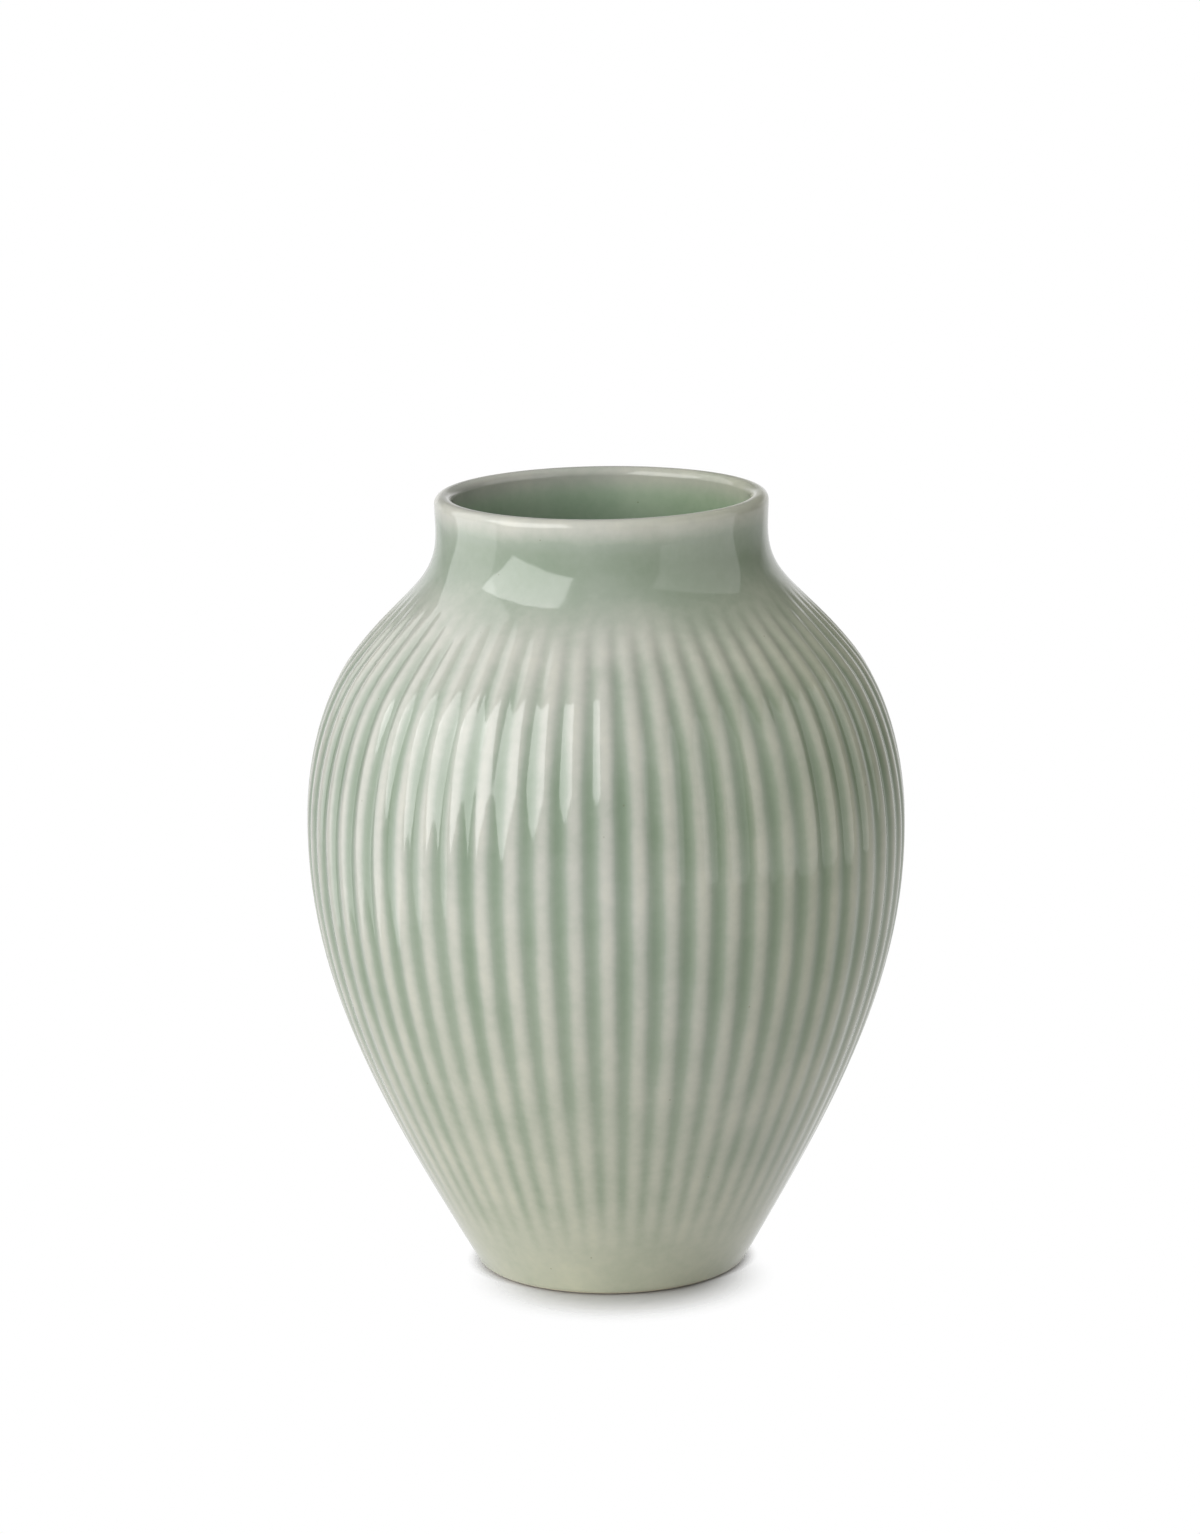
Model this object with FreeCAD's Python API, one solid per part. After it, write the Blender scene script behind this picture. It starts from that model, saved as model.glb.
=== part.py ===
import FreeCAD, Part
import math
import os

# Ribbed meiping vase, slip-cast in stoneware and dipped in a pale green glaze.
# Lengths are millimetres and angles degrees. The origin is the middle of the
# foot, on the surface that the vase stands on, and +Z is up.

# Bare clay, outside, at the crest of the ribs
FOOT_RING_RADIUS = 31.3
FOOT_ROUNDING = 3.6
WALL_FLARE_ANGLE = 29.4
BELLY_RADIUS = 75.65
SHOULDER_RADIUS = 63.8
SHOULDER_LEAN_ANGLE = 37.0
NECK_RADIUS = 41.55
LIP_RADIUS = 41.8
LIP_HEIGHT = 199.75
NECK_TO_LIP = 8.75
SHOULDER_TO_NECK = 32.7
BELLY_TO_SHOULDER = 42.8
NECK_HEIGHT = LIP_HEIGHT - NECK_TO_LIP
SHOULDER_HEIGHT = NECK_HEIGHT - SHOULDER_TO_NECK
BELLY_HEIGHT = SHOULDER_HEIGHT - BELLY_TO_SHOULDER

# How far each stretch of the outline keeps its end direction, as shares of its length
WALL_EASE_SHARES = (0.36, 0.35)
SHOULDER_EASE_SHARES = (0.405, 0.25)
NECK_EASE_SHARES = (0.525, 0.36)
LIP_EASE_SHARES = (0.33, 0.33)

# Thickness of the cast wall
WALL_THICKNESS = 5.0
LIP_THICKNESS = 4.1
LIP_FLAT_WIDTH = 0.4
BASE_THICKNESS = 6.0
INSIDE_FOOT_ROUNDING = 9.0

# Shallow recess under the base, inside the ring that the vase stands on
RECESS_RADIUS = 25.0
RECESS_DEPTH = 1.6
RECESS_BEVEL = 1.2

# Ribs
RIB_COUNT = 60
GROOVE_DEPTH = 1.05
GROOVE_SHARPNESS = 1.25
GROOVES_END_HEIGHT = 9.0
GROOVES_FULL_HEIGHT = 105.0
GROOVES_TO_NECK = 13.0
GROOVES_TOP_HEIGHT = NECK_HEIGHT - GROOVES_TO_NECK
GROOVE_TOP_LENGTH = 13.0
FRONT_CREST_ANGLE = -90.0

# Glaze
GLAZE_THICKNESS = 0.25
GLAZE_POOL_DEPTH = 0.5
GLAZE_LINE_HEIGHT = 0.8
BASE_GLAZE_MARGIN = 0.8

# Points that the ribbed surfaces pass through
COLUMNS_PER_RIB = 8
FOOT_BAND_ROWS = 3
FOOT_ROWS = 3
WALL_ROWS = 16
SHOULDER_ROWS = 8
NECK_ROWS = 14
LIP_FLARE_ROWS = 5
LIP_ROUND_ROWS = 6

FULL_TURN = 360.0
QUARTER_TURN = FULL_TURN / 4
RIB_PITCH_ANGLE = FULL_TURN / RIB_COUNT
LIP_ROUNDING = (LIP_THICKNESS - LIP_FLAT_WIDTH) / 2
FLOOR_HEIGHT = RECESS_DEPTH + BASE_THICKNESS

ORIGIN = FreeCAD.Vector(0, 0, 0)
UP = FreeCAD.Vector(0, 0, 1)


def at(radius, height):
    return FreeCAD.Vector(radius, 0, height)


def heading(angle_from_up):
    """Unit direction in the outline's plane, turned outwards from straight up."""
    turn = math.radians(angle_from_up)
    return at(math.sin(turn), math.cos(turn))


def outward(way):
    """Unit normal on the outside of an outline that is followed from the foot to the lip."""
    return at(way.z, -way.x)


def arc(centre, radius, start_angle, end_angle):
    """Arc in the outline's plane, between two angles measured from the horizontal."""
    points = []
    for angle in (start_angle, (start_angle + end_angle) / 2, end_angle):
        turn = math.radians(angle)
        points.append(centre + at(radius * math.cos(turn), radius * math.sin(turn)))
    return Part.Arc(*points)


def stretch(start, start_way, end, end_way, ease_shares):
    """Smooth stretch that leaves and arrives along the given directions."""
    reach = (end - start).Length
    curve = Part.BezierCurve()
    leaving = start + start_way * (reach * ease_shares[0])
    arriving = end - end_way * (reach * ease_shares[1])
    curve.setPoles([start, leaving, arriving, end])
    return curve


def wall_stretches(wall_start, wall_depth, lip_depth):
    """Wall, shoulder, neck and lip flare, set in from the outside by the given depths."""
    flare = heading(WALL_FLARE_ANGLE)
    lean = heading(-SHOULDER_LEAN_ANGLE)
    belly = at(BELLY_RADIUS - wall_depth, BELLY_HEIGHT)
    shoulder = at(SHOULDER_RADIUS, SHOULDER_HEIGHT) - outward(lean) * wall_depth
    neck = at(NECK_RADIUS - lip_depth, NECK_HEIGHT)
    lip = at(LIP_RADIUS - lip_depth, LIP_HEIGHT - LIP_ROUNDING)
    return [
        stretch(wall_start, flare, belly, UP, WALL_EASE_SHARES),
        stretch(belly, UP, shoulder, lean, SHOULDER_EASE_SHARES),
        stretch(shoulder, lean, neck, UP, NECK_EASE_SHARES),
        stretch(neck, UP, lip, UP, LIP_EASE_SHARES),
    ]


def outside_curves():
    """Outline of the clay from the standing ring, over the glaze line, to the top of the lip."""
    foot_centre = at(FOOT_RING_RADIUS, FOOT_ROUNDING)
    line_angle = -math.degrees(math.asin((FOOT_ROUNDING - GLAZE_LINE_HEIGHT) / FOOT_ROUNDING))
    foot_band = arc(foot_centre, FOOT_ROUNDING, -QUARTER_TURN, line_angle)
    foot = arc(foot_centre, FOOT_ROUNDING, line_angle, -WALL_FLARE_ANGLE)
    lip_centre = at(LIP_RADIUS - LIP_ROUNDING, LIP_HEIGHT - LIP_ROUNDING)
    lip_round = arc(lip_centre, LIP_ROUNDING, 0, QUARTER_TURN)
    return [foot_band, foot] + wall_stretches(foot.EndPoint, 0, 0) + [lip_round]


def inside_curves(coat):
    """Outline of the cavity from the middle of its floor to the lip, under a coat of glaze."""
    floor = FLOOR_HEIGHT + coat
    rounding = INSIDE_FOOT_ROUNDING
    flare = heading(WALL_FLARE_ANGLE)
    outer_centre = at(FOOT_RING_RADIUS, FOOT_ROUNDING)
    wall_point = outer_centre + outward(flare) * (FOOT_ROUNDING - WALL_THICKNESS - coat)
    # The rounding's centre stands its own radius off the floor and off the sloping wall
    centre_height = floor + rounding
    off_wall = wall_point - outward(flare) * rounding
    centre = off_wall + flare * ((centre_height - off_wall.z) / flare.z)
    corner = arc(centre, rounding, -QUARTER_TURN, -WALL_FLARE_ANGLE)
    wall_depth = WALL_THICKNESS + coat
    lip_depth = LIP_THICKNESS + coat
    lip_centre = at(LIP_RADIUS - LIP_ROUNDING - LIP_FLAT_WIDTH, LIP_HEIGHT - LIP_ROUNDING)
    lip_round = arc(lip_centre, LIP_ROUNDING + coat, 2 * QUARTER_TURN, QUARTER_TURN)
    floor_line = Part.LineSegment(at(0, floor), corner.StartPoint)
    return [floor_line, corner] + wall_stretches(corner.EndPoint, wall_depth, lip_depth) + [lip_round]


def outline_rows():
    """Rows of the outside: each point, its direction, and how far along the outline it is."""
    counts = [FOOT_BAND_ROWS, FOOT_ROWS, WALL_ROWS, SHOULDER_ROWS, NECK_ROWS, LIP_FLARE_ROWS,
              LIP_ROUND_ROWS]
    rows = []
    distance = 0
    for curve, count in zip(outside_curves(), counts):
        span = curve.LastParameter - curve.FirstParameter
        length = curve.length(curve.FirstParameter, curve.LastParameter)
        first = 0 if not rows else 1
        for step in range(first, count + 1):
            # Rows lie closer together towards the two ends of each curve
            eased = (1 - math.cos(math.pi * step / count)) / 2
            place = curve.FirstParameter + span * eased
            way = FreeCAD.Vector(*curve.tangent(place)[0])
            travelled = distance + curve.length(curve.FirstParameter, place)
            rows.append((curve.value(place), way, travelled))
        distance += length
    return rows


def smooth_step(share):
    held = min(max(share, 0), 1)
    return held * held * (3 - 2 * held)


def groove_strength(height):
    """1 where the grooves are full, fading to 0 near the foot and above the shoulder."""
    rise = (height - GROOVES_END_HEIGHT) / (GROOVES_FULL_HEIGHT - GROOVES_END_HEIGHT)
    fall = (GROOVES_TOP_HEIGHT - height) / GROOVE_TOP_LENGTH
    return smooth_step(rise) * smooth_step(fall)


def groove_form(share):
    """Cross-section of one rib, 1 at the grooves on its two sides and 0 at its crest."""
    return (0.5 + 0.5 * math.cos(2 * math.pi * share)) ** GROOVE_SHARPNESS


def turned(point, angle):
    """A point of the outline's plane, turned round the axis from the front of the vase."""
    turn = math.radians(FRONT_CREST_ANGLE + angle)
    return FreeCAD.Vector(point.x * math.cos(turn), point.x * math.sin(turn), point.z)


def smooth_curve(points, places, start_rate, end_rate):
    """Curve through points at the given places, with its end rates of change along them."""
    curve = Part.BSplineCurve()
    curve.interpolate(Points=points, Parameters=places, InitialTangent=start_rate,
                      FinalTangent=end_rate, Scale=False)
    return curve


def rib_surface(rows, plain_offset, groove_offset):
    """Surface over one rib, standing off the outline by two offsets along its normals.

    It follows the rows up the vase and is then smoothed across, straight round the vase
    at the two grooves, so that each rib runs on into the next.
    """
    places = [place for _, _, place in rows]
    shares = [column / COLUMNS_PER_RIB for column in range(COLUMNS_PER_RIB + 1)]
    columns = []
    for share in shares:
        angle = RIB_PITCH_ANGLE * (share - 0.5)
        line = []
        for point, way, _ in rows:
            groove = groove_form(share) * groove_strength(point.z)
            placed = point + outward(way) * (plain_offset + groove_offset * groove)
            line.append(turned(placed, angle))
        columns.append(smooth_curve(line, places, turned(rows[0][1], angle), turned(rows[-1][1], angle)))
    crossings = []
    for across in zip(*[column.getPoles() for column in columns]):
        first_rate = UP.cross(across[0]) * math.radians(RIB_PITCH_ANGLE)
        last_rate = UP.cross(across[-1]) * math.radians(RIB_PITCH_ANGLE)
        crossings.append(smooth_curve(list(across), shares, first_rate, last_rate))
    poles = list(zip(*[crossing.getPoles() for crossing in crossings]))
    surface = Part.BSplineSurface()
    surface.buildFromPolesMultsKnots(
        poles, crossings[0].getMultiplicities(), columns[0].getMultiplicities(),
        crossings[0].getKnots(), columns[0].getKnots(), False, False,
        crossings[0].Degree, columns[0].Degree)
    return surface


def half_ribs(surface):
    """The two halves of a rib's surface, which meet along its crest."""
    start, end, bottom, top = surface.bounds()
    crest = (start + end) / 2
    halves = []
    for near, far in ((start, crest), (crest, end)):
        half = surface.copy()
        half.segment(near, far, bottom, top)
        halves.append(half)
    return halves


def around(geometry):
    """Shapes of one rib's surfaces or edges, repeated all round the vase in turn."""
    copies = []
    for index in range(RIB_COUNT):
        for item in geometry:
            copy = item.toShape()
            copy.rotate(ORIGIN, UP, RIB_PITCH_ANGLE * index)
            copies.append(copy)
    return copies


def closed_solid(faces):
    shell = Part.Shell(faces)
    shell.sewShape()
    solid = Part.Solid(shell)
    if solid.Volume < 0:
        solid.reverse()
    return solid


def clay_surface():
    return rib_surface(outline_rows(), 0, -GROOVE_DEPTH)


def turned_faces(curves):
    """Faces that an outline in the plane of the axis sweeps round the vase."""
    wire = Part.Wire([curve.toShape() for curve in curves])
    return wire.revolve(ORIGIN, UP, FULL_TURN).Faces


def flat_ring(ribbed_edges, inner_point):
    """Flat face between the ribbed outside's edge and a circle inside it."""
    rim = Part.Wire(around(ribbed_edges))
    hole = Part.Wire(Part.makeCircle(inner_point.x, at(0, inner_point.z), UP))
    return Part.makeFace([rim, hole], "Part::FaceMakerBullseye")


def recess_lines():
    """Outline of the bevelled hollow under the base, from the axis to the standing ring."""
    points = [at(0, RECESS_DEPTH), at(RECESS_RADIUS - RECESS_BEVEL, RECESS_DEPTH), at(RECESS_RADIUS, 0)]
    return [Part.LineSegment(start, end) for start, end in zip(points, points[1:])]


def clay_body():
    """Cast body: ribbed outside, plain cavity, recessed base, and flats at the foot and lip."""
    surface = clay_surface()
    _, _, bottom, top = surface.bounds()
    halves = half_ribs(surface)
    cavity = inside_curves(0)
    recess = recess_lines()
    standing_ring = flat_ring([half.vIso(bottom) for half in halves], recess[-1].EndPoint)
    lip_flat = flat_ring([half.vIso(top) for half in halves], cavity[-1].EndPoint)
    faces = around(halves) + [standing_ring, lip_flat]
    return closed_solid(faces + turned_faces(cavity) + turned_faces(recess))


def ruled_between(inner_edge, outer_edge):
    return Part.makeRuledSurface(inner_edge.toShape(), outer_edge.toShape()).Surface


def outer_glaze():
    """Coat from the glaze line up to the top of the lip, thin on the ribs and pooled between."""
    covered = outline_rows()[FOOT_BAND_ROWS:]
    line = covered[0][2]
    top = covered[-1][2]
    inside = clay_surface()
    across_start, across_end, _, _ = inside.bounds()
    inside.segment(across_start, across_end, line, top)
    outside = rib_surface(covered, GLAZE_THICKNESS, GLAZE_POOL_DEPTH - GROOVE_DEPTH)
    faces = around(half_ribs(inside)) + around(half_ribs(outside))
    for end in (line, top):
        for inner, outer in zip(half_ribs(inside), half_ribs(outside)):
            faces += around([ruled_between(inner.vIso(end), outer.vIso(end))])
    return closed_solid(faces)


def inner_glaze():
    """Lining of the cavity, over the flat of the lip, to where it meets the outer coat."""
    clay = inside_curves(0)
    skin = inside_curves(GLAZE_THICKNESS)
    clay_lip = clay[-1].EndPoint
    skin_lip = skin[-1].EndPoint
    meeting_clay = at(clay_lip.x + LIP_FLAT_WIDTH, clay_lip.z)
    meeting_skin = at(meeting_clay.x, skin_lip.z)
    across = [Part.LineSegment(clay_lip, meeting_clay), Part.LineSegment(meeting_clay, meeting_skin),
              Part.LineSegment(meeting_skin, skin_lip)]
    axis = Part.LineSegment(at(0, FLOOR_HEIGHT + GLAZE_THICKNESS), at(0, FLOOR_HEIGHT))
    edges = [curve.toShape() for curve in clay + across + skin + [axis]]
    wire = Part.Wire(Part.__sortEdges__(edges))
    return Part.Face(wire).revolve(ORIGIN, UP, FULL_TURN)


def base_glaze():
    """Disc of glaze on the roof of the recess, wiped clear of the standing ring."""
    radius = RECESS_RADIUS - RECESS_BEVEL - BASE_GLAZE_MARGIN
    lower = at(0, RECESS_DEPTH - GLAZE_THICKNESS)
    return Part.makeCylinder(radius, GLAZE_THICKNESS, lower, UP)


NODES = {
    "clay_body": clay_body,
    "outer_glaze": outer_glaze,
    "inner_glaze": inner_glaze,
    "base_glaze": base_glaze,
}

os.makedirs("parts", exist_ok=True)
for name, make in NODES.items():
    shape = make()
    shape.exportStep("parts/" + name + ".step")
    print(name, shape.ShapeType, shape.isValid(), len(shape.Solids), round(shape.Volume, 1), shape.BoundBox)
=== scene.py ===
import math

import bpy
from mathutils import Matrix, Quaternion, Vector
from mathutils.geometry import interpolate_bezier


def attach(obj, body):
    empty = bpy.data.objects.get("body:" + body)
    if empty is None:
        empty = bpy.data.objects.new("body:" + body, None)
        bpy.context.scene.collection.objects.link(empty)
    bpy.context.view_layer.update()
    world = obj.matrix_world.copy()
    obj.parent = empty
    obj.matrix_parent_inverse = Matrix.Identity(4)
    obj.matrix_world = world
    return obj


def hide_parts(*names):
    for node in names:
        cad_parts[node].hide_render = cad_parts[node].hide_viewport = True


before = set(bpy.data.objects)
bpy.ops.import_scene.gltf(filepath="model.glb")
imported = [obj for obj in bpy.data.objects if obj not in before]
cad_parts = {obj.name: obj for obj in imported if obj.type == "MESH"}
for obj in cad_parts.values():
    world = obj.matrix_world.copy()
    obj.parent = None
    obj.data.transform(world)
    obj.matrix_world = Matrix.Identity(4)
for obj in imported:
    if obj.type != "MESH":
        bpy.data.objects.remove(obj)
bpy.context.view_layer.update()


# The fired body
# One slip-cast stoneware pot, wiped with a damp sponge and fired. It shows only on the ring
# that it stands on and in the thin bare line under the glaze, as fine-grained cream clay.

MM = 0.001
STONEWARE_PALE = "#e0d8c6"
STONEWARE_DULL = "#cfc5b0"
STONEWARE_SPECK = "#8d7f68"
STONEWARE_GRAIN = 0.5 * MM
STONEWARE_CLOUD = 9 * MM
STONEWARE_TOOTH = 0.05 * MM


def linear(code):
    """An sRGB hex colour as the linear values that a shader takes."""
    shares = [int(code[place:place + 2], 16) / 255 for place in (1, 3, 5)]
    return [s / 12.92 if s <= 0.04045 else ((s + 0.055) / 1.055) ** 2.4 for s in shares] + [1]


def add(tree, kind, inputs=(), **settings):
    """Adds a node with its settings. Its inputs are named, or listed in their order.

    An input is given a value, the socket that feeds it, or a node whose first output does.
    """
    made = tree.nodes.new(kind)
    for name, value in settings.items():
        setattr(made, name, value)
    named = inputs if isinstance(inputs, dict) else dict(enumerate(inputs))
    for name, value in named.items():
        source = value.outputs[0] if isinstance(value, bpy.types.Node) else value
        if isinstance(source, bpy.types.NodeSocket):
            tree.links.new(source, made.inputs[name])
        else:
            made.inputs[name].default_value = source
    return made


def blank_material(name):
    """A material with nothing in its tree yet."""
    material = bpy.data.materials.new(name)
    material.use_nodes = True
    material.node_tree.nodes.clear()
    return material


def bare_stoneware():
    """Unglazed stoneware, moulded and sponged: matt cream, with a fine grain and a few specks."""
    material = blank_material("bare_stoneware")
    tree = material.node_tree
    place = add(tree, "ShaderNodeTexCoord").outputs["Object"]
    grain = add(tree, "ShaderNodeTexNoise", {"Vector": place, "Scale": 1 / STONEWARE_GRAIN, "Detail": 4})
    cloud = add(tree, "ShaderNodeTexNoise", {"Vector": place, "Scale": 1 / STONEWARE_CLOUD, "Detail": 3})
    clay = add(tree, "ShaderNodeMix", {0: cloud, 6: linear(STONEWARE_DULL), 7: linear(STONEWARE_PALE)},
               data_type="RGBA")
    speckled = add(tree, "ShaderNodeMapRange", {"Value": grain, "From Min": 0.66, "From Max": 0.74,
                                                "To Max": 0.6})
    colour = add(tree, "ShaderNodeMix", {0: speckled, 6: clay.outputs[2], 7: linear(STONEWARE_SPECK)},
                 data_type="RGBA")
    tooth = add(tree, "ShaderNodeBump", {"Height": grain, "Strength": 0.5, "Distance": STONEWARE_TOOTH})
    shader = add(tree, "ShaderNodeBsdfPrincipled", {"Base Color": colour.outputs[2], "Roughness": 0.82,
                                                    "IOR": 1.5, "Normal": tooth})
    add(tree, "ShaderNodeOutputMaterial", {"Surface": shader})
    return material


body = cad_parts["clay_body"]
body.data.materials.clear()
body.data.materials.append(bare_stoneware())


# The outer glaze
# The pot is dipped in a pale green iron glaze, which melts to a glassy coat a quarter of a
# millimetre thick. It runs off the ribs, which come out pale, and pools green between them.

FOOT_RING_RADIUS = 31.3 * MM
FOOT_ROUNDING = 3.6 * MM
WALL_FLARE_ANGLE = 29.4
BELLY = (75.65 * MM, 115.5 * MM)
SHOULDER = (63.8 * MM, 158.3 * MM)
SHOULDER_LEAN_ANGLE = 37.0
NECK = (41.55 * MM, 191.0 * MM)
LIP_RADIUS = 41.8 * MM
LIP_HEIGHT = 199.75 * MM
LIP_ROUNDING = 1.85 * MM
WALL_EASE_SHARES = (0.36, 0.35)
SHOULDER_EASE_SHARES = (0.405, 0.25)
NECK_EASE_SHARES = (0.525, 0.36)
LIP_EASE_SHARES = (0.33, 0.33)
LAST_STEP = 0.02

RIB_COUNT = 60
COLUMNS_PER_RIB = 12
OUTER_BACK_STRIDE = 4
CREST_ANGLE = -90.0
GROOVE_DEPTH = 1.05 * MM
GROOVE_SHARPNESS = 1.25
GROOVES_END_HEIGHT = 9.0 * MM
GROOVES_FULL_HEIGHT = 105.0 * MM
GROOVES_TOP_HEIGHT = 178.0 * MM
GROOVE_TOP_LENGTH = 13.0 * MM

GLAZE_THICKNESS = 0.25 * MM
GLAZE_POOL_DEPTH = 0.5 * MM
GLAZE_LINE_HEIGHT = 0.8 * MM
GLAZE_EDGE_LENGTH = 1.4 * MM
GLAZE_EDGE_SHARE = 0.35

# How the glaze gathers, which its colour shows: the share of a full pool that it reaches low
# down, by how many times the height where the grooves end, over how many lengths of a groove's
# top it thins out, and the least and the most that a groove holds of its share
FOOT_POOLS_SHARE = 0.45
FOOT_POOLS_FULL = 4
THIN_TOP_LENGTHS = 3
GROOVE_FILLS = (0.8, 1.15)
GROOVE_FILL_SEED = 5

# Keeps the wave of the grooves above nothing, where its power has no value
JUST_UNDER_HALF = 0.49999
MERGE_DISTANCE = 0.002 * MM
CREASE_ANGLE = 0.9

# The glaze's colours by its depth in millimetres, grey where thin and green where deep
CELADON_COLOURS = [(0.0, "#d6d2c3"), (0.13, "#cbcabe"), (0.25, "#bebfb5"), (0.5, "#9aa495"),
                   (0.75, "#869581"), (1.0, "#738570")]
# Tints the coat towards the foot, and on the right-hand side as painted light for the side in shade
FOOT_AND_SIDE_LIGHT_CAST = "#f8faea"
IRON_SPECK = "#6f6c52"
FLOW_SIZE = 16 * MM
MOTTLE_SIZE = 2.2 * MM
SPECK_SPACING = 5 * MM
RIPPLE_SIZE = 7 * MM
RIPPLE_HEIGHT = 0.08 * MM
MOTTLE_HEIGHT = 0.004 * MM
OUTER_POOLS = [(166, 191, 0.36), (191, 199, -0.4)]

# The two kinds of node that the coats use most
MATHS = "ShaderNodeMath"
RANGE = "ShaderNodeMapRange"


def at(radius, height):
    """A point of an outline, which lies in the plane of X and Z."""
    return Vector((radius, 0, height))


def heading(angle_from_up):
    """Unit direction in the outline's plane, turned outwards from straight up."""
    turn = math.radians(angle_from_up)
    return at(math.sin(turn), math.cos(turn))


def stretch(start, start_angle, end, end_angle, ease_shares, steps):
    """Points of a smooth stretch of outline, without the first."""
    reach = (end - start).length
    leaving = start + heading(start_angle) * reach * ease_shares[0]
    arriving = end - heading(end_angle) * reach * ease_shares[1]
    return interpolate_bezier(start, leaving, arriving, end, steps + 1)[1:]


def corner(centre, radius, start_angle, end_angle, steps):
    """Points of an arc between two angles from the horizontal, closest at its two ends."""
    shares = [0, LAST_STEP] + [step / steps for step in range(1, steps)] + [1 - LAST_STEP, 1]
    turns = [math.radians(start_angle + (end_angle - start_angle) * share) for share in shares]
    return [centre + at(radius * math.cos(turn), radius * math.sin(turn)) for turn in turns]


def outer_outline():
    """The clay's outside at the crest of the ribs, from the glaze line to the top of the lip."""
    foot_centre = at(FOOT_RING_RADIUS, FOOT_ROUNDING)
    line_angle = -math.degrees(math.asin((FOOT_ROUNDING - GLAZE_LINE_HEIGHT) / FOOT_ROUNDING))
    points = corner(foot_centre, FOOT_ROUNDING, line_angle, -WALL_FLARE_ANGLE, steps=6)
    belly, shoulder, neck = at(*BELLY), at(*SHOULDER), at(*NECK)
    lip = at(LIP_RADIUS, LIP_HEIGHT - LIP_ROUNDING)
    lean = -SHOULDER_LEAN_ANGLE
    points += stretch(points[-1], WALL_FLARE_ANGLE, belly, 0, WALL_EASE_SHARES, steps=26)
    points += stretch(belly, 0, shoulder, lean, SHOULDER_EASE_SHARES, steps=14)
    points += stretch(shoulder, lean, neck, 0, NECK_EASE_SHARES, steps=24)
    points += stretch(neck, 0, lip, 0, LIP_EASE_SHARES, steps=5)
    points += corner(at(LIP_RADIUS - LIP_ROUNDING, lip.z), LIP_ROUNDING, 0, 90, steps=14)[1:]
    return points


def outline_curve(name, points):
    """A curve object through the outline's points."""
    data = bpy.data.curves.new(name, "CURVE")
    data.dimensions = "3D"
    spline = data.splines.new("POLY")
    spline.points.add(len(points) - 1)
    for knot, point in zip(spline.points, points):
        knot.co = (*point, 1)
    curve = bpy.data.objects.new(name, data)
    bpy.context.scene.collection.objects.link(curve)
    return curve


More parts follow.
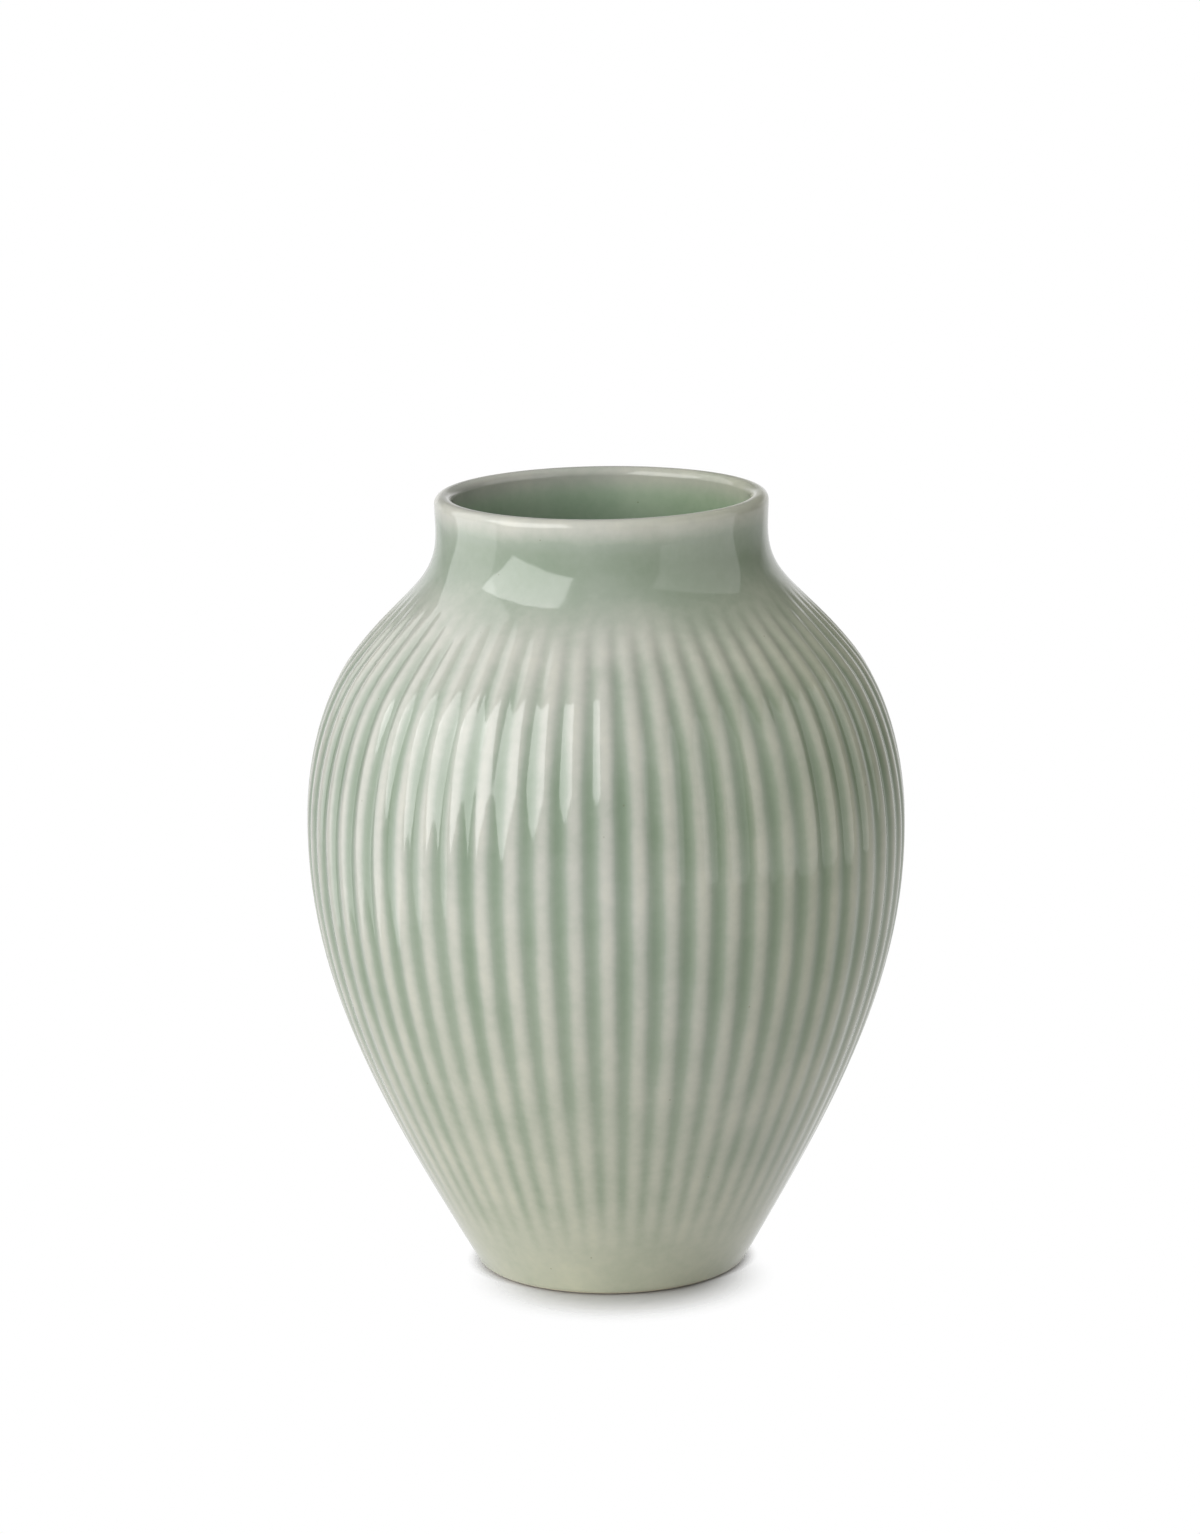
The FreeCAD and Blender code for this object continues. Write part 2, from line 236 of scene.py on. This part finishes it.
def coat_tree():
    """Sweeps an outline round the axis as a closed coat: its outside, and the side on the clay."""
    tree = bpy.data.node_groups.new("glaze_coat", "GeometryNodeTree")
    sockets = {"Geometry": "Geometry", "Rib Count": "Int", "Columns per Rib": "Int",
               "Back Stride": "Int", "Crest Angle": "Float", "Groove Depth": "Float",
               "Groove Sharpness": "Float", "Grooves End": "Float", "Grooves Full": "Float",
               "Grooves Top": "Float", "Groove Top Length": "Float", "Thickness": "Float",
               "Pool Depth": "Float", "Edge Length": "Float", "Side": "Float", "Material": "Material"}
    for name, kind in sockets.items():
        tree.interface.new_socket(name, in_out="INPUT", socket_type="NodeSocket" + kind)
    tree.interface.new_socket("Geometry", in_out="OUTPUT", socket_type="NodeSocketGeometry")
    given = add(tree, "NodeGroupInput").outputs
    outline, per_rib = given["Geometry"], given["Columns per Rib"]

    # A grid with a column for each place round the vase, and one more that closes the ring. Its
    # rows go up the outside, back down on the clay in longer steps, and close on the first row
    count = add(tree, "GeometryNodeAttributeDomainSize", [outline], component="CURVE")
    last = add(tree, MATHS, [count, 1], operation="SUBTRACT")
    strides = add(tree, MATHS, [last, given["Back Stride"]], operation="DIVIDE")
    whole_strides = add(tree, MATHS, [strides], operation="CEIL")
    back = add(tree, MATHS, [whole_strides, 1], operation="ADD")
    closing_row = add(tree, MATHS, [count, back], operation="ADD")
    rows = add(tree, MATHS, [closing_row, 1], operation="ADD")
    closing_column = add(tree, MATHS, [given["Rib Count"], per_rib], operation="MULTIPLY")
    columns = add(tree, MATHS, [closing_column, 1], operation="ADD")
    grid = add(tree, "GeometryNodeMeshGrid", {"Vertices X": columns, "Vertices Y": rows})

    # The column and row of each point of the grid
    index = add(tree, "GeometryNodeInputIndex")
    index_middle = add(tree, MATHS, [index, 0.5], operation="ADD")
    columns_gone = add(tree, MATHS, [index_middle, rows], operation="DIVIDE")
    column = add(tree, MATHS, [columns_gone], operation="FLOOR")
    column_start = add(tree, MATHS, [column, rows], operation="MULTIPLY")
    row = add(tree, MATHS, [index, column_start], operation="SUBTRACT")

    # The point of the outline that each row stands on
    up_limit = add(tree, MATHS, [count, 0.5], operation="SUBTRACT")
    up = add(tree, MATHS, [row, up_limit], operation="LESS_THAN")
    close_limit = add(tree, MATHS, [closing_row, 0.5], operation="SUBTRACT")
    closing = add(tree, MATHS, [row, close_limit], operation="GREATER_THAN")
    outside = add(tree, MATHS, [up, closing], operation="MAXIMUM")
    rows_back = add(tree, MATHS, [row, count], operation="SUBTRACT")
    points_back = add(tree, MATHS, [rows_back, given["Back Stride"]], operation="MULTIPLY")
    points_left = add(tree, MATHS, [last, points_back], operation="SUBTRACT")
    returning = add(tree, MATHS, [points_left, 0], operation="MAXIMUM")
    going = add(tree, MATHS, [row, up], operation="MULTIPLY")
    either = add(tree, "ShaderNodeMix", {0: outside, 2: returning, 3: going})
    knot = add(tree, MATHS, [either], operation="ROUND")
    fields = [(add(tree, "GeometryNodeInputPosition").outputs[0], "FLOAT_VECTOR"),
              (add(tree, "GeometryNodeInputTangent").outputs[0], "FLOAT_VECTOR"),
              (add(tree, "GeometryNodeSplineParameter").outputs["Length"], "FLOAT")]
    place, way, travelled = [
        add(tree, "GeometryNodeSampleIndex", {"Geometry": outline, "Value": field, "Index": knot},
            data_type=kind, domain="POINT", clamp=True) for field, kind in fields]
    place = add(tree, "ShaderNodeSeparateXYZ", [place]).outputs
    way = add(tree, "ShaderNodeSeparateXYZ", [way]).outputs

    # How deep the groove is here: full at the middle of a groove and nothing at a crest
    nudged = add(tree, MATHS, [column, 0.01], operation="ADD")
    across = add(tree, MATHS, [nudged, per_rib], operation="MODULO")
    step = add(tree, MATHS, [across], operation="FLOOR")
    share = add(tree, MATHS, [step, per_rib], operation="DIVIDE")
    wave_turn = add(tree, MATHS, [share, 2 * math.pi], operation="MULTIPLY")
    wave = add(tree, MATHS, [wave_turn], operation="COSINE")
    lifted = add(tree, MATHS, [wave, JUST_UNDER_HALF, 0.5], operation="MULTIPLY_ADD")
    form = add(tree, MATHS, [lifted, given["Groove Sharpness"]], operation="POWER")
    rise = add(tree, RANGE, {"Value": place["Z"], "From Min": given["Grooves End"],
                             "From Max": given["Grooves Full"]}, interpolation_type="SMOOTHSTEP")
    full_top = add(tree, MATHS, [given["Grooves Top"], given["Groove Top Length"]], operation="SUBTRACT")
    fall = add(tree, RANGE, {"Value": place["Z"], "From Min": given["Grooves Top"],
                             "From Max": full_top}, interpolation_type="SMOOTHSTEP")
    fullness = add(tree, MATHS, [rise, fall], operation="MULTIPLY")
    groove = add(tree, MATHS, [form, fullness], operation="MULTIPLY")

    # The glaze gathers between the ribs down to the foot, and thins out to their tops. No two
    # grooves took quite the same depth of it
    foot_full = add(tree, MATHS, [given["Grooves End"], FOOT_POOLS_FULL], operation="MULTIPLY")
    foot_pool = add(tree, RANGE, {"Value": place["Z"], "From Min": given["Grooves End"],
                                  "From Max": foot_full, "To Max": FOOT_POOLS_SHARE},
                    interpolation_type="SMOOTHSTEP")
    drained = add(tree, MATHS, [given["Groove Top Length"], -THIN_TOP_LENGTHS, given["Grooves Top"]],
                  operation="MULTIPLY_ADD")
    thinned = add(tree, RANGE, {"Value": place["Z"], "From Min": given["Grooves Top"],
                                "From Max": drained})
    pooled = add(tree, MATHS, [rise, foot_pool], operation="MAXIMUM")
    kept = add(tree, MATHS, [pooled, thinned], operation="MULTIPLY")
    even = add(tree, MATHS, [form, kept], operation="MULTIPLY")
    halfway = add(tree, MATHS, [per_rib, 0.5, column], operation="MULTIPLY_ADD")
    grooves_gone = add(tree, MATHS, [halfway, per_rib], operation="DIVIDE")
    whole_grooves = add(tree, MATHS, [grooves_gone], operation="FLOOR")
    groove_number = add(tree, MATHS, [whole_grooves, given["Rib Count"]], operation="MODULO")
    filled = add(tree, "FunctionNodeRandomValue",
                 {2: GROOVE_FILLS[0], 3: GROOVE_FILLS[1], "ID": groove_number, "Seed": GROOVE_FILL_SEED},
                 data_type="FLOAT").outputs[1]
    gathered = add(tree, MATHS, [even, filled], operation="MULTIPLY")

    # The coat's depth as it stands on the clay, and as its colour shows it. Its edge is thinner
    edge = add(tree, RANGE, {"Value": travelled, "From Max": given["Edge Length"],
                             "To Min": GLAZE_EDGE_SHARE}, interpolation_type="SMOOTHSTEP")
    thick = add(tree, MATHS, [groove, given["Pool Depth"], given["Thickness"]], operation="MULTIPLY_ADD")
    depth = add(tree, MATHS, [edge, thick], operation="MULTIPLY")
    rich = add(tree, MATHS, [gathered, given["Pool Depth"], given["Thickness"]], operation="MULTIPLY_ADD")
    tone = add(tree, MATHS, [edge, rich], operation="MULTIPLY")

    # Each point's place: off the outline along its normal, and round the axis
    inwards = add(tree, MATHS, [given["Groove Depth"], -1], operation="MULTIPLY")
    clay = add(tree, MATHS, [groove, inwards], operation="MULTIPLY")
    outwards = add(tree, MATHS, [depth, outside, clay], operation="MULTIPLY_ADD")
    offset = add(tree, MATHS, [outwards, given["Side"]], operation="MULTIPLY")
    radius = add(tree, MATHS, [way["Z"], offset, place["X"]], operation="MULTIPLY_ADD")
    drop = add(tree, MATHS, [way["X"], offset], operation="MULTIPLY")
    height = add(tree, MATHS, [place["Z"], drop], operation="SUBTRACT")
    pitch = add(tree, MATHS, [2 * math.pi, closing_column], operation="DIVIDE")
    half_rib = add(tree, MATHS, [math.pi, given["Rib Count"]], operation="DIVIDE")
    first = add(tree, MATHS, [given["Crest Angle"], half_rib], operation="SUBTRACT")
    ring_limit = add(tree, MATHS, [closing_column, 0.5], operation="SUBTRACT")
    on_ring = add(tree, MATHS, [column, ring_limit], operation="LESS_THAN")
    ring_column = add(tree, MATHS, [column, on_ring], operation="MULTIPLY")
    angle = add(tree, MATHS, [ring_column, pitch, first], operation="MULTIPLY_ADD")
    cosine = add(tree, MATHS, [angle], operation="COSINE")
    sine = add(tree, MATHS, [angle], operation="SINE")
    along_x = add(tree, MATHS, [radius, cosine], operation="MULTIPLY")
    along_y = add(tree, MATHS, [radius, sine], operation="MULTIPLY")
    point = add(tree, "ShaderNodeCombineXYZ", [along_x, along_y, height])

    # The grid, put in place and closed, with its normals outwards and its rims sharp
    stored = add(tree, "GeometryNodeStoreNamedAttribute",
                 {"Geometry": grid, "Name": "glaze_depth", "Value": tone},
                 data_type="FLOAT", domain="POINT")
    placed = add(tree, "GeometryNodeSetPosition", {"Geometry": stored, "Position": point})
    joined = add(tree, "GeometryNodeMergeByDistance", {"Geometry": placed, "Distance": MERGE_DISTANCE})
    faces = add(tree, "GeometryNodeInputMeshEdgeNeighbors")
    loose = add(tree, MATHS, [faces, 0.5], operation="LESS_THAN")
    cleared = add(tree, "GeometryNodeDeleteGeometry", {"Geometry": joined, "Selection": loose},
                  domain="EDGE")
    turned_in = add(tree, MATHS, [given["Side"], 0], operation="LESS_THAN")
    faced = add(tree, "GeometryNodeFlipFaces", {"Mesh": cleared, "Selection": turned_in})
    smooth = add(tree, "GeometryNodeSetShadeSmooth", {"Geometry": faced})
    bend = add(tree, "GeometryNodeInputMeshEdgeAngle").outputs["Unsigned Angle"]
    sharp = add(tree, MATHS, [bend, CREASE_ANGLE], operation="GREATER_THAN")
    creased = add(tree, "GeometryNodeSetShadeSmooth",
                  {"Geometry": smooth, "Selection": sharp, "Shade Smooth": False}, domain="EDGE")
    real = add(tree, "GeometryNodeRealizeInstances", {"Geometry": creased})
    dressed = add(tree, "GeometryNodeSetMaterial", {"Geometry": real, "Material": given["Material"]})
    add(tree, "NodeGroupOutput", [dressed])
    return tree


def coat(name, points, material, values):
    """The plain mesh of a coat of glaze, made from its outline by the coat's node tree."""
    curve = outline_curve(name + "_outline", points)
    modifier = curve.modifiers.new("coat", "NODES")
    modifier.node_group = GLAZE_COAT
    sockets = {item.name: item.identifier for item in GLAZE_COAT.interface.items_tree
               if item.in_out == "INPUT"}
    for label, value in {**values, "Material": material}.items():
        modifier[sockets[label]] = value
    evaluated = curve.evaluated_get(bpy.context.evaluated_depsgraph_get())
    mesh = bpy.data.meshes.new_from_object(evaluated)
    mesh.name = name
    piece = bpy.data.objects.new(name, mesh)
    bpy.context.scene.collection.objects.link(piece)
    bpy.data.objects.remove(curve)
    return piece


def celadon(name, pools, casts):
    """Celadon glaze, dipped and fired: a clear glass over pale clay, coloured by its own depth.

    Each pool is a band of deeper glaze: the heights over which it deepens, and its depth in mm.
    Each cast tints the coat, from none at its first height to its full colour at the second.
    """
    material = blank_material(name)
    tree = material.node_tree
    place = add(tree, "ShaderNodeTexCoord").outputs["Object"]
    place_parts = add(tree, "ShaderNodeSeparateXYZ", [place]).outputs
    height = place_parts["Z"]

    # The coat's depth in millimetres, with the slow and the fine unevenness of a dipped glaze
    depth = add(tree, "ShaderNodeAttribute", attribute_name="glaze_depth").outputs["Fac"]
    flow = add(tree, "ShaderNodeTexNoise", {"Vector": place, "Scale": 1 / FLOW_SIZE, "Detail": 2})
    mottle = add(tree, "ShaderNodeTexNoise", {"Vector": place, "Scale": 1 / MOTTLE_SIZE, "Detail": 3})
    slow = add(tree, RANGE, {"Value": flow, "From Min": 0.3, "From Max": 0.7,
                             "To Min": -0.06, "To Max": 0.06})
    fine = add(tree, RANGE, {"Value": mottle, "From Min": 0.3, "From Max": 0.7,
                             "To Min": -0.025, "To Max": 0.025})
    uneven = add(tree, MATHS, [slow, fine], operation="ADD")
    deep = add(tree, MATHS, [depth, 1 / MM, uneven], operation="MULTIPLY_ADD")
    for start, end, extra in pools:
        pool = add(tree, RANGE, {"Value": height, "From Min": start * MM, "From Max": end * MM,
                                 "To Max": extra}, interpolation_type="SMOOTHSTEP")
        deep = add(tree, MATHS, [deep, pool], operation="ADD")
    ramp = add(tree, "ShaderNodeValToRGB", [deep])
    stops = ramp.color_ramp.elements
    while len(stops) < len(CELADON_COLOURS):
        stops.new(1)
    for stop, (position, code) in zip(stops, CELADON_COLOURS):
        stop.position = position
        stop.color = linear(code)

    # Iron specks, a third of a millimetre across and one to about every square centimetre
    cells = add(tree, "ShaderNodeTexVoronoi", {"Vector": place, "Scale": 1 / SPECK_SPACING})
    near = add(tree, RANGE, {"Value": cells.outputs["Distance"], "From Min": 0.03, "From Max": 0.06,
                             "To Min": 1, "To Max": 0})
    chance = add(tree, "ShaderNodeSeparateColor", [cells.outputs["Color"]])
    chosen = add(tree, MATHS, [chance, 0.8], operation="GREATER_THAN")
    speck = add(tree, MATHS, [near, chosen], operation="MULTIPLY")
    faint = add(tree, MATHS, [speck, 0.45], operation="MULTIPLY")
    colour = add(tree, "ShaderNodeMix", {0: faint, 6: ramp, 7: linear(IRON_SPECK)}, data_type="RGBA")
    for start, end, code in casts:
        cast = add(tree, RANGE, {"Value": height, "From Min": start * MM, "From Max": end * MM},
                   interpolation_type="SMOOTHSTEP")
        colour = add(tree, "ShaderNodeMix", {0: cast, 6: colour.outputs[2], 7: linear(code)},
                     data_type="RGBA", blend_type="MULTIPLY")

    # The coat is a little yellower towards the foot. It is yellower on the right-hand side too, which is
    # painted light: the warmer tone of the side in shade
    low = add(tree, RANGE, {"Value": height, "From Min": 120 * MM, "From Max": 10 * MM})
    side = add(tree, RANGE, {"Value": place_parts["X"], "From Min": 0, "From Max": 55 * MM})
    yellow_foot_and_side_light = add(tree, MATHS, [low, side], operation="MAXIMUM")
    warmed = add(tree, "ShaderNodeMix", {0: yellow_foot_and_side_light, 6: colour.outputs[2], 7: linear(FOOT_AND_SIDE_LIGHT_CAST)},
                 data_type="RGBA", blend_type="MULTIPLY")

    # A glassy surface, which ripples a little as it ran
    wave = add(tree, "ShaderNodeTexNoise", {"Vector": place, "Scale": 1 / RIPPLE_SIZE, "Detail": 1})
    ripple = add(tree, "ShaderNodeBump", {"Height": wave, "Strength": 1, "Distance": RIPPLE_HEIGHT})
    surface = add(tree, "ShaderNodeBump", {"Height": mottle, "Strength": 1, "Distance": MOTTLE_HEIGHT,
                                           "Normal": ripple})
    gloss = add(tree, RANGE, {"Value": flow, "To Min": 0.05, "To Max": 0.12})
    shader = add(tree, "ShaderNodeBsdfPrincipled", {"Base Color": warmed.outputs[2],
                                                    "Roughness": gloss, "IOR": 1.52,
                                                    "Normal": surface})
    add(tree, "ShaderNodeOutputMaterial", {"Surface": shader})
    return material


GLAZE_COAT = coat_tree()
outer = coat("outer_glaze_coat", outer_outline(), celadon("outer_celadon_glaze", OUTER_POOLS, []), {
    "Rib Count": RIB_COUNT, "Columns per Rib": COLUMNS_PER_RIB, "Back Stride": OUTER_BACK_STRIDE,
    "Crest Angle": math.radians(CREST_ANGLE), "Groove Depth": GROOVE_DEPTH,
    "Groove Sharpness": GROOVE_SHARPNESS, "Grooves End": GROOVES_END_HEIGHT,
    "Grooves Full": GROOVES_FULL_HEIGHT, "Grooves Top": GROOVES_TOP_HEIGHT,
    "Groove Top Length": GROOVE_TOP_LENGTH, "Thickness": GLAZE_THICKNESS,
    "Pool Depth": GLAZE_POOL_DEPTH, "Edge Length": GLAZE_EDGE_LENGTH, "Side": 1.0})
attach(outer, "root")
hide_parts("outer_glaze")


# The inner glaze
# The same green glaze, poured in and swilled round before the pot is dipped. It lines the
# cavity and laps over the top of the lip, where it runs into the outer coat.

WALL_THICKNESS = 5.0 * MM
LIP_THICKNESS = 4.1 * MM
LIP_FLAT_WIDTH = 0.4 * MM
FLOOR_HEIGHT = 7.6 * MM
INSIDE_FOOT_ROUNDING = 9.0 * MM
FLOOR_STEPS = 6
INNER_COLUMNS = 240
INNER_EDGE_LENGTH = 0.01 * MM
INNER_POOLS = [(198, 190, 0.1), (185, 150, 0.2)]
# Painted light: a greener, slightly darker tint inside the cavity below the lip, for the light that
# bounces round its green walls
INNER_BOUNCE_LIGHT_CASTS = [(199, 192, "#e6fbe8")]


def inner_outline():
    """The clay of the cavity, from the middle of its floor over the top of the lip."""
    flare = heading(WALL_FLARE_ANGLE)
    out_of_wall = at(flare.z, -flare.x)
    wall = at(FOOT_RING_RADIUS, FOOT_ROUNDING) + out_of_wall * (FOOT_ROUNDING - WALL_THICKNESS)
    off_wall = wall - out_of_wall * INSIDE_FOOT_ROUNDING
    centre = off_wall + flare * ((FLOOR_HEIGHT + INSIDE_FOOT_ROUNDING - off_wall.z) / flare.z)
    lean = heading(-SHOULDER_LEAN_ANGLE)
    belly = at(BELLY[0] - WALL_THICKNESS, BELLY[1])
    shoulder = at(*SHOULDER) - at(lean.z, -lean.x) * WALL_THICKNESS
    neck = at(NECK[0] - LIP_THICKNESS, NECK[1])
    lip = at(LIP_RADIUS - LIP_THICKNESS, LIP_HEIGHT - LIP_ROUNDING)
    points = [at(centre.x * step / FLOOR_STEPS, FLOOR_HEIGHT) for step in range(FLOOR_STEPS)]
    points += corner(centre, INSIDE_FOOT_ROUNDING, -90, -WALL_FLARE_ANGLE, steps=8)
    points += stretch(points[-1], WALL_FLARE_ANGLE, belly, 0, WALL_EASE_SHARES, steps=22)
    points += stretch(belly, 0, shoulder, -SHOULDER_LEAN_ANGLE, SHOULDER_EASE_SHARES, steps=12)
    points += stretch(shoulder, -SHOULDER_LEAN_ANGLE, neck, 0, NECK_EASE_SHARES, steps=20)
    points += stretch(neck, 0, lip, 0, LIP_EASE_SHARES, steps=4)
    points += corner(lip + at(LIP_ROUNDING, 0), LIP_ROUNDING, 180, 90, steps=14)[1:]
    return points + [points[-1] + at(LIP_FLAT_WIDTH, 0)]


# A coat with no ribs, whose heights of the grooves change nothing
PLAIN_COAT = {"Rib Count": 1, "Back Stride": 1, "Crest Angle": 0.0, "Groove Depth": 0.0,
              "Groove Sharpness": 1.0, "Grooves End": GROOVES_END_HEIGHT,
              "Grooves Full": GROOVES_FULL_HEIGHT, "Grooves Top": GROOVES_TOP_HEIGHT,
              "Groove Top Length": GROOVE_TOP_LENGTH, "Thickness": GLAZE_THICKNESS,
              "Pool Depth": 0.0, "Side": -1.0}

inner_glaze = celadon("inner_celadon_glaze", INNER_POOLS, INNER_BOUNCE_LIGHT_CASTS)
inner = coat("inner_glaze_coat", inner_outline(), inner_glaze, {
    **PLAIN_COAT, "Columns per Rib": INNER_COLUMNS, "Edge Length": INNER_EDGE_LENGTH})
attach(inner, "root")
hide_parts("inner_glaze")


# The base glaze
# A thin disc of the same glaze in the recess under the foot. It was wiped off the standing
# ring with a sponge, so that the pot wouldn't stick to the shelf of the kiln.

BASE_GLAZE_RADIUS = 23.0 * MM
RECESS_DEPTH = 1.6 * MM
BASE_STEPS = 12
BASE_COLUMNS = 96
BASE_EDGE_LENGTH = 2.5 * MM

base_outline = [at(BASE_GLAZE_RADIUS * (1 - step / BASE_STEPS), RECESS_DEPTH)
                for step in range(BASE_STEPS + 1)]
base = coat("base_glaze_coat", base_outline, celadon("base_celadon_glaze", [], []), {
    **PLAIN_COAT, "Columns per Rib": BASE_COLUMNS, "Edge Length": BASE_EDGE_LENGTH})
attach(base, "root")
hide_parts("base_glaze")


# The floor
# A plain white matt sheet, which the camera and the glaze see as pure white except for the
# soft shadow at the foot.

# The shadow hugs the foot all round, and reaches further out in front: centre, full, gone
SHADOW_REACHES = [((2 * MM, -18 * MM, 0), 18 * MM, 40 * MM), ((0, 0, 0), 32 * MM, 38 * MM)]
SHADOW_DISTANCE = 60 * MM
DEEPEST_SHADOW = 0.55
PAPER_TONE = 0.8
FLOOR_SIZE = 6.0


def studio_sheet():
    """White paper, which fades into the white room beyond the shadow at the foot."""
    material = blank_material("matt_white_sheet")
    tree = material.node_tree
    place = add(tree, "ShaderNodeTexCoord").outputs["Object"]
    fades = []
    for centre, full, gone in SHADOW_REACHES:
        reach = add(tree, "ShaderNodeVectorMath", [place, centre], operation="DISTANCE").outputs["Value"]
        fades.append(add(tree, RANGE, {"Value": reach, "From Min": full, "From Max": gone},
                         interpolation_type="SMOOTHSTEP"))
    fade = add(tree, MATHS, fades, operation="MINIMUM")
    hidden = add(tree, "ShaderNodeAmbientOcclusion", {"Distance": SHADOW_DISTANCE}, samples=16)
    shade = add(tree, RANGE, {"Value": hidden.outputs["AO"], "From Min": 0.25, "From Max": 0.85,
                              "To Min": DEEPEST_SHADOW})
    # Only the camera sees the shadow, and the foot is lit by the bare white paper
    seen = add(tree, "ShaderNodeLightPath").outputs["Is Camera Ray"]
    tone = add(tree, "ShaderNodeMix", {0: seen, 2: PAPER_TONE, 3: shade})
    grey = add(tree, "ShaderNodeCombineColor", [tone, tone, tone])
    paper = add(tree, "ShaderNodeBsdfDiffuse", {"Color": grey})
    clear = add(tree, "ShaderNodeBsdfTransparent")
    sheet = add(tree, "ShaderNodeMixShader", [fade, paper, clear])
    add(tree, "ShaderNodeOutputMaterial", {"Surface": sheet})
    return material


bpy.ops.mesh.primitive_plane_add(size=FLOOR_SIZE)
floor = bpy.context.object
floor.name = "studio_floor"
floor.data.materials.append(studio_sheet())


# The light
# Softboxes on the left, a dim window on the right, and a plain white room. The glaze mirrors
# the boxes and the window, and larger diffusers shade it.

# Name, azimuth, elevation and roll in degrees, width and height in metres, watts, mirrored
LAMPS = [("key_softbox", -54, 27, 32, 1.35, 1.25, 21, True),
         ("side_softbox", -103, 18, 12, 1.15, 2.2, 11, True),
         ("broad_diffuser", -47, 16, 0, 2.0, 1.6, 23, False),
         ("overhead_diffuser", -20, 60, 0, 1.0, 1.0, 3.2, False),
         ("right_window", 72, 13, 0, 1.8, 1.36, 7, True),
         ("right_fill", 60, 5, 0, 1.5, 1.5, 1.4, False)]
MIDDLE = Vector((0, 0, 0.1))
LAMP_DISTANCE = 1.4

# The levels that the glaze mirrors, and those that light it
MIRRORED_ROOM, MIRRORED_SHEET = 0.13, 0.9
ROOM_LIGHT, CEILING_LIGHT, SHEET_LIGHT = 0.165, 0.65, 0.6


def soft_lamp(name, azimuth, elevation, roll, width, height, power, mirrored):
    """An area lamp that faces the vase, placed by its direction from it; azimuth 0 is the front.

    The glaze mirrors it but isn't shaded by it, or the other way round.
    """
    turn, rise = math.radians(azimuth), math.radians(elevation)
    way = Vector((math.sin(turn) * math.cos(rise), -math.cos(turn) * math.cos(rise), math.sin(rise)))
    data = bpy.data.lights.new(name, "AREA")
    data.shape = "RECTANGLE"
    data.size, data.size_y = width, height
    data.energy = power
    lamp = bpy.data.objects.new(name, data)
    lamp.location = MIDDLE + way * LAMP_DISTANCE
    lamp.rotation_mode = "QUATERNION"
    lamp.rotation_quaternion = way.to_track_quat("Z", "Y") @ Quaternion((0, 0, 1), math.radians(roll))
    lamp.visible_glossy = mirrored
    lamp.visible_diffuse = not mirrored
    bpy.context.scene.collection.objects.link(lamp)


for lamp_values in LAMPS:
    soft_lamp(*lamp_values)

world = bpy.data.worlds.new("white_room")
bpy.context.scene.world = world
world.use_nodes = True
sky = world.node_tree
sky.nodes.clear()
way = add(sky, "ShaderNodeSeparateXYZ", [add(sky, "ShaderNodeTexCoord").outputs["Generated"]]).outputs
ray = add(sky, "ShaderNodeLightPath").outputs
# The glaze sees the white sheet below it and low behind it, and a darker room elsewhere
below = add(sky, RANGE, {"Value": way["Z"], "From Min": 0.0, "From Max": -0.3})
behind = add(sky, RANGE, {"Value": way["Y"], "From Min": 0.68, "From Max": 0.88})
low = add(sky, RANGE, {"Value": way["Z"], "From Min": 0.25, "From Max": 0.1})
backdrop = add(sky, MATHS, [behind, low], operation="MULTIPLY")
white = add(sky, MATHS, [below, backdrop], operation="MAXIMUM")
mirrored = add(sky, RANGE, {"Value": white, "To Min": MIRRORED_ROOM, "To Max": MIRRORED_SHEET})
# The light on it comes from the sheet, from the ceiling, and a little from the rest of the room
above = add(sky, RANGE, {"Value": way["Z"], "From Min": 0.5, "From Max": 0.9,
                         "To Min": ROOM_LIGHT, "To Max": CEILING_LIGHT})
shading = add(sky, RANGE, {"Value": below, "To Min": above, "To Max": SHEET_LIGHT})
indirect = add(sky, "ShaderNodeMix", {0: ray["Is Glossy Ray"], 2: shading, 3: mirrored})
# The camera sees it pure white
direct = add(sky, MATHS, [ray["Is Camera Ray"], ray["Is Transmission Ray"]], operation="MAXIMUM")
level = add(sky, "ShaderNodeMix", {0: direct, 2: indirect, 3: 1.0})
room = add(sky, "ShaderNodeBackground", {"Color": (1, 1, 1, 1), "Strength": level})
add(sky, "ShaderNodeOutputWorld", {"Surface": room})


# The camera
# It stands where the photograph's stood, as fitted to the outline of the vase. The middle of
# the vase lies right of and below the middle of the picture, which is rolled a little.

CAMERA_DISTANCE = 1.51973
CAMERA_RISE = math.radians(13.411)
FOCAL_PIXELS = 5967.5
PICTURE_HEIGHT = 1534
AIM_RIGHT, AIM_DOWN = 5.25, 112.85
ROLL = math.radians(-0.844)
SENSOR_HEIGHT = 24.0

camera_data = bpy.data.cameras.new("camera")
camera_data.sensor_fit = "VERTICAL"
camera_data.sensor_height = SENSOR_HEIGHT
camera_data.lens = FOCAL_PIXELS / PICTURE_HEIGHT * SENSOR_HEIGHT
camera = bpy.data.objects.new("camera", camera_data)
bpy.context.scene.collection.objects.link(camera)
camera.location = MIDDLE + Vector((0, -math.cos(CAMERA_RISE), math.sin(CAMERA_RISE))) * CAMERA_DISTANCE
straight = (MIDDLE - camera.location).to_track_quat("-Z", "Y")
aim = Vector((AIM_RIGHT, -AIM_DOWN, -FOCAL_PIXELS)).normalized()
lean_down = math.atan2(aim.y, math.hypot(aim.x, aim.z))
lean_side = math.atan2(aim.x, -aim.z)
camera.rotation_mode = "QUATERNION"
camera.rotation_quaternion = (straight @ Quaternion((0, 1, 0), lean_side) @
                              Quaternion((1, 0, 0), -lean_down) @ Quaternion((0, 0, 1), ROLL))
bpy.context.scene.camera = camera

bpy.context.scene.view_settings.view_transform = "Standard"
